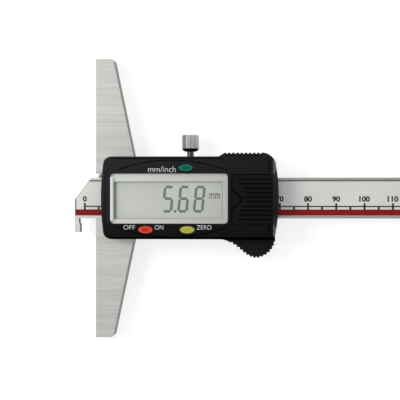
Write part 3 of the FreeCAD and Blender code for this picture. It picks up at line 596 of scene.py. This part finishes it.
# Faces with a finish of their own, painted shade and highlight among them; where two rules take a face, the
# later one holds
faceFinishes = {
    "base_slider": [("wallSteel", isMilledSide)],
    "beam": [("cutSteel", isThroat)],
    # on the housing, the end slope gets a painted highlight; sunk walls and line floors, the lower rounded
    # edge, the slot over the thumb rest and the sides of the teeth get painted shade
    "front_cover": [("edgeBlack", isEndSlope), ("lineBlack", isSunk), ("lineBlack", isLowerRound),
                    ("lineBlack", isToothSide), ("stepBlack", onLevel(plastic["step"] * mm)),
                    ("restBlack", isThumbRest)],
    # the door's sunk walls and groove floors get painted shade
    "battery_door": [("grooveBlack", isSunk), ("doorBlack", onLevel(front - plastic["arrow"] * mm))]}

cutTop = 17.5       # mm, clear over the front
# Lines and a step cut into the housing and the door: start, end, width, floor and top in mm
carvings = {
    "front_cover": [((5.67, -8.40), (5.67, 8.42), 1.90, plastic["step"], cutTop),   # step beside the window
                    ((7.2, 13.82), (46.2, 13.82), 0.30, 16.55, cutTop),     # line inside the long edge
                    ((62.25, 8.5), (62.25, 13.2), 0.28, 16.75, cutTop),     # short lines by the door's end
                    ((62.25, -9.4), (62.25, -12.9), 0.28, 16.75, cutTop),
                    ((44.5, -14.48), (64.4, -14.48), 0.60, 10.6, 12.0)],    # between housing and thumb rest
    "battery_door": [((48.9, 3.45), (53.22, -0.45), 0.42, 16.25, cutTop),   # outline of the arrow
                     ((53.22, -0.45), (48.9, -4.35), 0.42, 16.25, cutTop),
                     ((49.2, 8.6), (49.2, 3.2), 0.36, 16.2, cutTop),        # beside the arrow
                     ((49.2, -4.1), (49.2, -9.3), 0.36, 16.2, cutTop),
                     ((49.0, 8.3), (63.3, 8.3), 0.26, 16.4, cutTop),        # along the door's sides
                     ((49.0, -9.2), (63.3, -9.2), 0.16, 16.4, cutTop)]}
# The door's ten grooves, from the top, in mm; their starts lead round the arrow
doorGrooves = {"starts": (51.1, 51.9, 53.2, 53.9, 54.1, 54.1, 53.4, 52.6, 52.0, 51.1),
               "first": 6.57, "pitch": 1.56, "width": 0.42, "floor": 16.65, "end": 56.0}
for count, start in enumerate(doorGrooves["starts"]):
    row = doorGrooves["first"] - count * doorGrooves["pitch"]
    carvings["battery_door"].append(((start, row), (doorGrooves["end"], row), doorGrooves["width"],
                                     doorGrooves["floor"], cutTop))
# Faces moved before the cuts: which, and how far in mm. The pane's back leaves the mask's own plane, and the
# door's long sides close the slit beside them
movedFaces = {"window_lens": [(towards(z=-1), (0, 0, 0.03))],
              "battery_door": [(isDoorSide(1), (0, 0.10, 0)), (isDoorSide(-1), (0, -0.10, 0))]}
mergeReach = 0.0005 * mm
flatAngle = math.radians(0.6)
sharpAngle = math.radians(32)
mostCorners = 9     # a flat face with more corners goes back to triangles


def resized(piece, share):
    piece.scale = (share, share, share)
    settle(piece)


def cutterBar(start, end, width, floor, top):
    # an upright bar between two points, in mm
    start, end = Vector(start), Vector(end)
    way = end - start
    clearSelection()
    bpy.ops.mesh.primitive_cube_add(size=1)
    bar = bpy.context.active_object
    bar.scale = (way.length, width, top - floor)
    bar.rotation_euler = (0, 0, math.atan2(way.y, way.x))
    bar.location = ((start.x + end.x) / 2, (start.y + end.y) / 2, (floor + top) / 2)
    settle(bar)
    return bar


def carve(piece, bars):
    # cut away, at a thousand times the size, where the exact cut is steadier
    resized(piece, 1 / mm)
    cutter = joinPieces([cutterBar(*bar) for bar in bars], "cutter")
    applyModifier(piece, "BOOLEAN", operation="DIFFERENCE", solver="EXACT", use_self=True, object=cutter)
    resized(piece, mm)
    bpy.data.objects.remove(cutter)


def nodeCopy(node, name):
    copy = bpy.data.objects.new(name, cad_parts[node].data.copy())
    copy.data.name = name
    bpy.context.scene.collection.objects.link(copy)
    startEdit(copy, "VERT", everything=True)
    bpy.ops.mesh.remove_doubles(threshold=mergeReach)
    for wanted, shift in movedFaces.get(node, []):
        pickFaces(copy, wanted)
        bpy.ops.transform.translate(value=[part * mm for part in shift])
    if node in carvings:
        endEdit()
        carve(copy, carvings[node])
        startEdit(copy, "VERT", everything=True)
    bpy.ops.mesh.dissolve_limited(angle_limit=flatAngle)
    bpy.ops.mesh.select_all(action="DESELECT")
    bpy.ops.mesh.select_mode(type="FACE")
    bpy.ops.mesh.select_face_by_sides(number=mostCorners, type="GREATER", extend=False)
    bpy.ops.mesh.quads_convert_to_tris(quad_method="BEAUTY", ngon_method="BEAUTY")
    endEdit()
    return copy


def assignFinish(piece, index, wanted):
    startEdit(piece)
    pickFaces(piece, wanted)
    assignPicked(piece, index)
    endEdit()


def breakEdges(piece, width):
    # the mesh is a thousand times larger meanwhile, because both modifiers lose faces of a few hundredths
    # of a millimetre; each point's normal then follows the largest face it is on, so flat faces stay flat
    resized(piece, 1 / mm)
    bpy.ops.object.shade_smooth_by_angle(angle=sharpAngle)
    applyModifier(piece, "BEVEL", width=width, segments=2, limit_method="ANGLE", angle_limit=sharpAngle,
                  material=1, use_clamp_overlap=True, miter_outer="MITER_ARC", loop_slide=False)
    applyModifier(piece, "WEIGHTED_NORMAL", mode="FACE_AREA", weight=100, thresh=0.0, keep_sharp=True)
    resized(piece, mm)


def makeMachined():
    for node, (name, body, slot, face, edge, width) in softEdges.items():
        piece = nodeCopy(node, name)
        paint(piece, finishes[face], finishes[edge])
        for index, (finish, wanted) in enumerate(faceFinishes.get(node, [])):
            piece.data.materials.append(finishes[finish])
            assignFinish(piece, 2 + index, wanted)
        breakEdges(piece, width)
        placePiece(piece, body, slot, node)
        print("  ", name, len(piece.data.polygons), "faces")


makeMachined()
print("machined and moulded pieces made")


# CAD nodes that keep their own shape

nodeFinishes = {
    "scale_strip": "stripCopper", "scale_label": "scaleFilm", "end_stop_screws": "screwSteel",
    "gib_screws": "screwSteel", "guide_plate_left": "beamSteel", "guide_plate_right": "beamSteel",
    "guide_plate_screws": "screwSteel", "sensor_board": "boardGreen", "board_screws": "screwSteel",
    "controller_chip": "chipResin", "crystal_can": "canMetal", "board_capacitors": "ceramic",
    "key_domes": "canMetal", "zebra_strips": "rubber", "lcd_glass": "displayGlass",
    "lcd_holder": "innerBlack", "display_frame": "maskPrint", "cover_screws": "screwSteel",
    "battery_cell": "cellSteel", "battery_contact_positive": "contactSteel",
    "battery_contact_negative": "contactSteel", "lock_screw_stud": "shankSteel"}

for node, finish in nodeFinishes.items():
    paint(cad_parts[node], finishes[finish])
print("carried pieces painted")


# Knurled head of the lock screw

knob = {"flutes": 26, "sidesPerFlute": 3, "grooveDepth": 0.17, "grooveInset": 0.02, "neck": 1.15,
        "neckRadius": 1.35, "bowlRings": 5, "rim": 0.30, "rimDrop": 0.22,
        "rimSteps": ((0.7, 0.3), (0.3, 0.7)),       # shares of drop and rim
        "dish": 0.55, "dishDepth": 0.20, "edge": 0.04, "sharp": math.radians(30)}


def makeKnob():
    low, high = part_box("lock_screw_head")
    radius = (high.x - low.x) / 2
    middle = (low + high) / 2
    neck = knob["neck"] * mm
    drop = knob["rimDrop"] * mm
    length = high.y - low.y - neck - drop
    sides = knob["flutes"] * knob["sidesPerFlute"]
    clearSelection()
    bpy.ops.mesh.primitive_cylinder_add(vertices=sides, radius=radius, depth=length, end_fill_type="NGON",
                                        rotation=(-math.pi / 2, 0, 0),
                                        location=(middle.x, high.y - drop - length / 2, middle.z))
    head = bpy.context.active_object
    head.name = "lock_knob"
    settle(head)
    startEdit(head)
    # rounded bowl under the drum
    pickFaces(head, towards(y=-1))
    wide = radius
    inner = knob["neckRadius"] * mm
    for ring in range(1, knob["bowlRings"] + 1):
        turn = math.pi / 2 * ring / knob["bowlRings"]
        before = turn - math.pi / 2 / knob["bowlRings"]
        narrow = inner + (radius - inner) * math.cos(turn)
        share = narrow / wide
        pullRing((0, -neck * (math.sin(turn) - math.sin(before)), 0), (share, 1, share), middle)
        wide = narrow
    # rounded rim and shallow dish at the outer end
    pickFaces(head, towards(y=1))
    for rise, inward in knob["rimSteps"]:
        share = 1 - knob["rim"] * mm * inward / radius
        pullRing((0, drop * rise, 0), (share, 1, share), middle)
    bpy.ops.mesh.inset(thickness=knob["dish"] * mm, depth=0)
    bpy.ops.mesh.inset(thickness=knob["dish"] * mm / 2, depth=-knob["dishDepth"] * mm)
    step = 2 * math.pi / sides

    def onGroove(centre, normal):
        # one side face of each flute
        if abs(normal.y) > 0.2 or not low.y + neck < centre.y < high.y - drop:
            return False
        turn = math.atan2(centre.z - middle.z, centre.x - middle.x) % (2 * math.pi)
        return int(turn / step) % knob["sidesPerFlute"] == 0

    # the flutes' sides are a darker copy of the knob's steel, partly dirt and partly painted shade; the bowl
    # under the drum is a near-black copy, painted shade
    paint(head, finishes["knobSteel"], finishes["knobGroove"], finishes["knobBowl"])
    pickFaces(head, lambda centre, normal: centre.y < low.y + neck)
    assignPicked(head, 2)
    pickFaces(head, onGroove)
    bpy.ops.mesh.inset(thickness=knob["grooveInset"] * mm, depth=0, use_individual=True)
    bpy.ops.transform.shrink_fatten(value=-knob["grooveDepth"] * mm)
    assignPicked(head, 1)
    endEdit()
    take(head)
    bpy.ops.object.shade_smooth_by_angle(angle=knob["sharp"])
    applyModifier(head, "BEVEL", width=knob["edge"] * mm, segments=2, limit_method="ANGLE",
                  angle_limit=knob["sharp"], harden_normals=True)
    placePiece(head, "lock_screw_head", "knob_chrome", "lock_screw_head")


makeKnob()
print("lock knob turned")


# Oval buttons, domed, each with its flange and stem

buttons = {
    "button_unit": ("unit_button_cap", "greenCap", "green_button"),
    "button_on_off": ("power_button_cap", "redCap", "red_button"),
    "button_zero": ("zero_button_cap", "yellowCap", "yellow_button")}
button = {"length": 5.7, "width": 2.85, "cap": 2.17, "flange": 0.9, "flangeMargin": 0.3, "stemRadius": 0.9,
          "crown": 0.45, "rings": (0.15, 0.3, 0.45, 0.6, 0.75, 0.88, 0.97), "narrowing": 0.35, "rising": 0.8,
          "sides": 64, "skirt": 0.80, "shoulder": 0.45, "sharp": math.radians(38)}


def makeButton(node):
    name, finish, slot = buttons[node]
    low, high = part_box(node)
    middle = (low + high) / 2
    flangeTop = high.z - button["cap"] * mm
    crown = button["crown"] * mm
    clearSelection()
    bpy.ops.mesh.primitive_cylinder_add(vertices=button["sides"], radius=0.5 * mm,
                                        depth=high.z - crown - flangeTop,
                                        location=(middle.x, middle.y, (high.z - crown + flangeTop) / 2))
    cap = bpy.context.active_object
    cap.name = name
    cap.scale = (button["length"], button["width"], 1)
    settle(cap)
    startEdit(cap)
    # rounded shoulder and low crown, ring by ring
    pickFaces(cap, towards(z=1))
    wide, risen = 1.0, 0.0
    for part in button["rings"]:
        narrow = math.cos(part * math.pi / 2) ** button["narrowing"]
        rise = crown * math.sin(part * math.pi / 2) ** button["rising"]
        pullRing((0, 0, rise - risen), (narrow / wide, narrow / wide, 1), middle)
        wide, risen = narrow, rise
    # flange and stem underneath
    pickFaces(cap, towards(z=-1))
    flange = button["flange"] * mm
    length = button["length"] + 2 * button["flangeMargin"]
    width = button["width"] + 2 * button["flangeMargin"]
    across = 2 * button["stemRadius"]
    pullRing((0, 0, 0), (length / button["length"], width / button["width"], 1), middle)
    pullRing((0, 0, -flange), (1, 1, 1), middle)
    pullRing((0, 0, 0), (across / length, across / width, 1), middle)
    pullRing((0, 0, low.z - flangeTop + flange), (1, 1, 1), middle)
    endEdit()
    take(cap)
    bpy.ops.object.shade_smooth_by_angle(angle=button["sharp"])

    def outward(centre):
        # 1 at the cap's side, 0 in its middle
        x, y = (centre.x - middle.x) / button["length"], (centre.y - middle.y) / button["width"]
        return math.hypot(x, y) * 2 / mm

    # the cap's outer ring gets painted shade and the ring inside it a painted highlight
    paint(cap, finishes[finish], finishes[finish + "Skirt"], finishes[finish + "Shoulder"])
    assignFinish(cap, 1, lambda centre, normal: outward(centre) > button["skirt"])
    assignFinish(cap, 2, lambda centre, normal: button["shoulder"] < outward(centre) < button["skirt"])
    placePiece(cap, node, slot, node)


for node in buttons:
    makeButton(node)
print("buttons made")


# Printed scale on the film: line, ticks, numbers, red stripe

scaleX = {"zero": -4.03, "pitch": 10.0, "last": 210.0}      # mm along the beam, from number to number
scaleY = {"line": -3.0, "majorTop": -1.85, "minorTop": -3.1, "tickFoot": -4.25, "digits": -0.32,
          "stripeTop": -4.08, "stripeFoot": -6.25}
# Prints are in mm; ticks stand over the line by their share of its thickness
inkPlan = {"lineWidth": 0.44, "lineEnd": 0.4, "tickWidth": 0.70, "tickOver": 1.1, "thickness": 0.02,
           "digitHeight": 2.02, "digitWide": 1.08, "weight": 0.040, "edgeShadowWidth": 0.46, "endWidth": 0.34,
           "edgeShadowTop": -0.16, "slope": 0.766, "margin": 0.02, "curveSteps": 6, "merge": 0.0001}


def flatBar(left, right, low, high, base, thickness):
    clearSelection()
    bpy.ops.mesh.primitive_plane_add(size=1, location=((left + right) / 2, (low + high) / 2, base))
    bar = bpy.context.active_object
    bar.scale = (right - left, high - low, 1)
    settle(bar)
    startEdit(bar, everything=True)
    thicken(thickness)
    return bar


def letters(words, height, middle, base, width=None, wide=1.0, weight=0.0):
    # words as a thin flat mesh, fitted to a height, and to a width where one is given
    clearSelection()
    bpy.ops.object.text_add(location=(0, 0, 0))
    text = bpy.context.active_object
    text.data.body = words
    text.data.size = 1.0
    text.data.offset = weight
    text.data.resolution_u = inkPlan["curveSteps"]
    bpy.ops.object.convert(target="MESH")
    text = bpy.context.active_object
    across = [corner.co.x for corner in text.data.vertices]
    upward = [corner.co.y for corner in text.data.vertices]
    tall = height / (max(upward) - min(upward))
    broad = width / (max(across) - min(across)) if width else tall * wide
    text.scale = (broad, tall, 1)
    text.location = (middle[0] - (max(across) + min(across)) / 2 * broad,
                     middle[1] - (max(upward) + min(upward)) / 2 * tall, base)
    settle(text)
    startEdit(text, "VERT", everything=True)
    bpy.ops.mesh.remove_doubles(threshold=inkPlan["merge"] * mm)
    bpy.ops.mesh.select_mode(type="FACE")
    bpy.ops.mesh.select_all(action="SELECT")
    thicken(inkPlan["thickness"] * mm)
    return text


def makeScale():
    filmLow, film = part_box("scale_label")
    top = film.z
    thick = inkPlan["thickness"] * mm
    margin = inkPlan["margin"] * mm
    half = inkPlan["tickWidth"] / 2 * mm
    line = inkPlan["lineWidth"] / 2 * mm
    middle = scaleY["line"] * mm
    marks = [flatBar(scaleX["zero"] * mm, film.x - inkPlan["lineEnd"] * mm, middle - line, middle + line, top,
                     thick)]
    numbers = []
    for step in range(int(scaleX["last"] / scaleX["pitch"] * 2) + 1):
        value = step * scaleX["pitch"] / 2      # every second tick has its number
        place = (scaleX["zero"] + value) * mm
        isMajor = step % 2 == 0
        high = scaleY["majorTop"] if isMajor else scaleY["minorTop"]
        marks.append(flatBar(place - half, place + half, scaleY["tickFoot"] * mm, high * mm, top,
                             thick * inkPlan["tickOver"]))
        if isMajor:
            numbers.append(letters(str(int(value)), inkPlan["digitHeight"] * mm,
                                   (place, scaleY["digits"] * mm), top,
                                   wide=inkPlan["digitWide"], weight=inkPlan["weight"]))
    # painted shadow of the beam's recess edge, as a dark rim of the film along its long upper edge and its
    # left end
    left, right = filmLow.x + margin, film.x - margin
    edgeShadowTop = inkPlan["edgeShadowTop"] * mm
    slantEnd = filmLow.x + (film.y - edgeShadowTop) * inkPlan["slope"]
    edgeShadows = [flatBar(slantEnd, right, film.y - inkPlan["edgeShadowWidth"] * mm, film.y - margin, top, thick),
            flatBar(left, filmLow.x + inkPlan["endWidth"] * mm, scaleY["stripeTop"] * mm, edgeShadowTop, top, thick)]
    stripe = flatBar(left, right, scaleY["stripeFoot"] * mm, scaleY["stripeTop"] * mm, top, thick)
    pieces = {"scale_lines": (marks, "blackInk"), "scale_numbers": (numbers, "blackInk"),
              "film_edge_shadow": (edgeShadows, "rimInk"), "red_stripe": ([stripe], "redInk")}
    for name, (parts, finish) in pieces.items():
        piece = joinPieces(parts, name)
        paint(piece, finishes[finish])
        placePiece(piece, "beam", "scale_film")


makeScale()
print("scale printed")


# Lettering by the buttons

lettering = {
    # words: middle, height and width in mm, and how much bolder than the font
    "mm/inch": {"middle": (24.68, 10.12), "height": 2.1, "width": 9.75, "weight": -0.008},
    "OFF": {"middle": (13.2, -10.26), "height": 1.57, "width": 4.1, "weight": -0.008},
    "ON": {"middle": (23.7, -10.26), "height": 1.57, "width": 3.0, "weight": -0.008},
    "ZERO": {"middle": (39.5, -10.26), "height": 1.57, "width": 5.15, "weight": -0.008}}


def makeLettering():
    words = [letters(word, plan["height"] * mm, [part * mm for part in plan["middle"]], front,
                     plan["width"] * mm, weight=plan["weight"]) for word, plan in lettering.items()]
    piece = joinPieces(words, "button_lettering")
    paint(piece, finishes["whiteInk"])
    placePiece(piece, "slider", "black_plastic")


makeLettering()
print("lettering printed")


# Display: lit segments of a seven-segment face, a little slanted, the unit beside them, and painted shade
# inside the mask's window

segments = {"stroke": 0.95, "gap": 0.14, "slant": 0.10, "width": 2.85,
            "columns": (25.3, 30.8, 36.3), "rows": (3.9, -0.2, -4.66), "lit": ("afgcd", "afgedc", "abcdefg"),
            "dot": (29.15, -4.65), "unit": (43.05, 0.75), "unitWidth": 3.7, "unitHeight": 2.0,
            "unitWeight": 0.02, "thickness": 0.02, "film": 0.8, "filmMargin": 0.2}
# the painted shade inside the mask's window: its widths in mm, and the mask's wall
windowShade = {"left": 0.55, "long": 0.28, "right": 0.16, "longOver": 1.1, "maskWall": 0.5}


def segmentBar(middle, length, upright):
    # flat bar with pointed ends, along X or leaning upright
    stroke = segments["stroke"] * mm
    point = stroke / 2 / math.cos(math.pi / 6)
    clearSelection()
    bpy.ops.mesh.primitive_circle_add(vertices=6, radius=point, fill_type="NGON",
                                      rotation=(0, 0, math.pi / 6))
    bar = bpy.context.active_object
    settle(bar)
    bpy.ops.object.mode_set(mode="EDIT")
    bpy.ops.mesh.select_mode(type="VERT")
    for side in (-1, 1):
        bpy.ops.mesh.select_all(action="DESELECT")
        mesh = bmesh.from_edit_mesh(bar.data)
        for corner in mesh.verts:
            corner.select_set(corner.co.x * side > 0.01 * mm)
        bmesh.update_edit_mesh(bar.data)
        bpy.ops.transform.translate(value=(side * (length / 2 - point), 0, 0))
    bpy.ops.mesh.select_mode(type="FACE")
    bpy.ops.mesh.select_all(action="SELECT")
    thicken(segments["thickness"] * mm)
    bar.location = middle
    if upright:
        bar.rotation_euler = (0, 0, math.pi / 2 - math.atan(segments["slant"]))
    settle(bar)
    return bar


def digitBars(column, lit, base):
    top, waist, foot = [row * mm for row in segments["rows"]]
    left = column * mm
    right = left + segments["width"] * mm
    gap = segments["gap"] * mm
    ends = {"a": (left, top, right, top), "g": (left, waist, right, waist), "d": (left, foot, right, foot),
            "f": (left, waist, left, top), "b": (right, waist, right, top),
            "e": (left, foot, left, waist), "c": (right, foot, right, waist)}
    bars = []
    for part in lit:
        x0, y0, x1, y1 = ends[part]
        x, y = (x0 + x1) / 2, (y0 + y1) / 2
        length = max(x1 - x0, y1 - y0) - 2 * gap
        bars.append(segmentBar((x + segments["slant"] * y, y, base), length, x0 == x1))
    return bars


def panelWindow():
    # left, right, foot and top of the mask's window, from the mask's corners inside its outer wall
    low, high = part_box("display_frame")
    wall = windowShade["maskWall"] * mm
    inner = [corner.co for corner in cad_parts["display_frame"].data.vertices
             if low.x + wall < corner.co.x < high.x - wall and low.y + wall < corner.co.y < high.y - wall]
    across = [corner.x for corner in inner]
    upward = [corner.y for corner in inner]
    return min(across), max(across), min(upward), max(upward)


def makeDisplay():
    # front film of the panel, as large as the mask's window and a little more
    left, right, low, high = panelWindow()
    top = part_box("lcd_glass")[1].z
    margin = segments["filmMargin"] * mm
    film = flatBar(left - margin, right + margin, low - margin, high + margin, top, segments["film"] * mm)
    film.name = "display_film"
    base = top + segments["film"] * mm
    thick = segments["thickness"] * mm
    bars = []
    for column, lit in zip(segments["columns"], segments["lit"]):
        bars += digitBars(column, lit, base)
    half = segments["stroke"] / 2 * mm
    x, y = [part * mm for part in segments["dot"]]
    bars.append(flatBar(x - half, x + half, y - half, y + half, base, thick))
    reading = joinPieces(bars, "display_digits")
    unit = letters("mm", segments["unitHeight"] * mm, [part * mm for part in segments["unit"]], base,
                   segments["unitWidth"] * mm, weight=segments["unitWeight"])
    unit.name = "display_unit"
    # painted shade inside the mask's window, along its edges, where the mask shades the panel
    long = windowShade["long"] * mm
    longThick = thick * windowShade["longOver"]
    shadeBars = [flatBar(left, left + windowShade["left"] * mm, low, high, base, thick),
             flatBar(right - windowShade["right"] * mm, right, low, high, base, thick),
             flatBar(left, right, low, low + long, base, longThick),
             flatBar(left, right, high - long, high, base, longThick)]
    edge = joinPieces(shadeBars[:2], "window_shade_sides")
    rim = joinPieces(shadeBars[2:], "window_shade_long")
    for piece, finish in ((film, "displayGlass"), (reading, "displayInk"), (unit, "faintInk"),
                          (edge, "panelShade"), (rim, "rimShade")):
        paint(piece, finishes[finish])
        placePiece(piece, "slider", "display_glass")


makeDisplay()
print("display lit")


# Painted glint on the pane's left edge: a pale bar for the light its polished edge catches

paneEdge = {"width": 0.86, "inset": 0.06, "ends": 1.15, "thickness": 0.02}


def makePaneEdge():
    low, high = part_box("window_lens")
    left = low.x + paneEdge["inset"] * mm
    ends = paneEdge["ends"] * mm
    edge = flatBar(left, left + paneEdge["width"] * mm, low.y + ends, high.y - ends, high.z,
                   paneEdge["thickness"] * mm)
    edge.name = "pane_edge"
    paint(edge, finishes["paneEdge"])
    placePiece(edge, "slider", "clear_window")


makePaneEdge()
print("pane edge polished")
